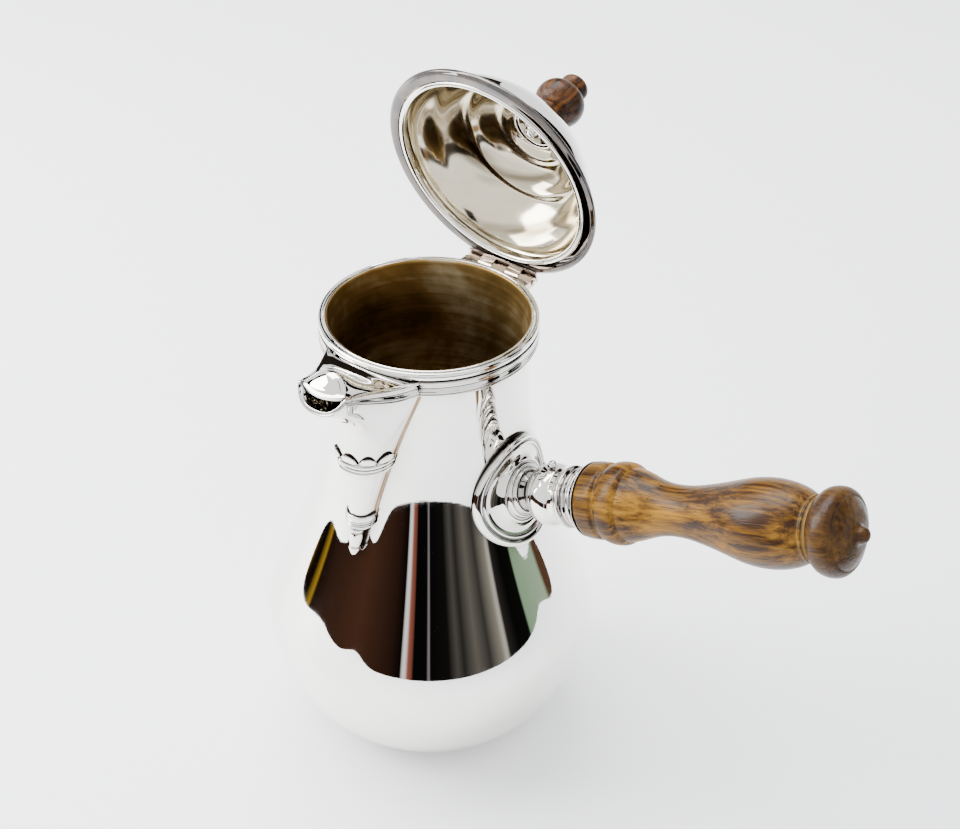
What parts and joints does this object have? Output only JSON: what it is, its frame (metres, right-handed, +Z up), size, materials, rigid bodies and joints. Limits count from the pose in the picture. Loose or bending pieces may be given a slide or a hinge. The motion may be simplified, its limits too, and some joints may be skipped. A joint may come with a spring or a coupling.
{
  "type": "coffee pot",
  "caption": "Silver coffee pot with a pear-shaped body, a turned wooden side handle, a covered pouring spout and a hinged dome lid that stands open.",
  "frame": {"origin": "centre of the flat base", "axes": "+Z up, spout towards -Y, handle towards +X, lid hinge at +Y"},
  "size_m": [0.213, 0.1406, 0.2393],
  "materials": {
    "silver": "polished silver",
    "silver_bright": "bright polished silver",
    "grip_wood": "oiled oak, turned",
    "knob_wood": "dark stained wood, turned"
  },
  "bodies": {
    "pot": {"pot_body": "silver", "rim_ring": "silver_bright", "rim_band": "silver", "lip_band": "silver", "spout_shell": "silver", "spout_hood": "silver", "spout_upper_girdle": "silver", "spout_lower_girdle": "silver", "spout_drop": "silver", "hinge_pot_leaf": "silver", "hinge_pin": "silver", "handle_boss": "silver", "handle_socket": "silver", "socket_collar": "silver", "handle_pin": "silver", "handle_grip": "grip_wood"},
    "lid": {"lid_dome": "silver", "lid_flange": "silver", "lid_bezel": "silver", "knob_washer": "silver", "knob_nut": "silver_bright", "knob_bolt": "silver_bright", "lid_knob": "knob_wood", "hinge_lid_leaf": "silver"}
  },
  "joints": [
    {"name": "lid_hinge", "type": "hinge", "parent": "pot", "child": "lid", "pos_m": [0, 0.03835, 0.16293], "axis": [-1, 0, 0], "range_deg": [-74.6, 0]}
  ]
}
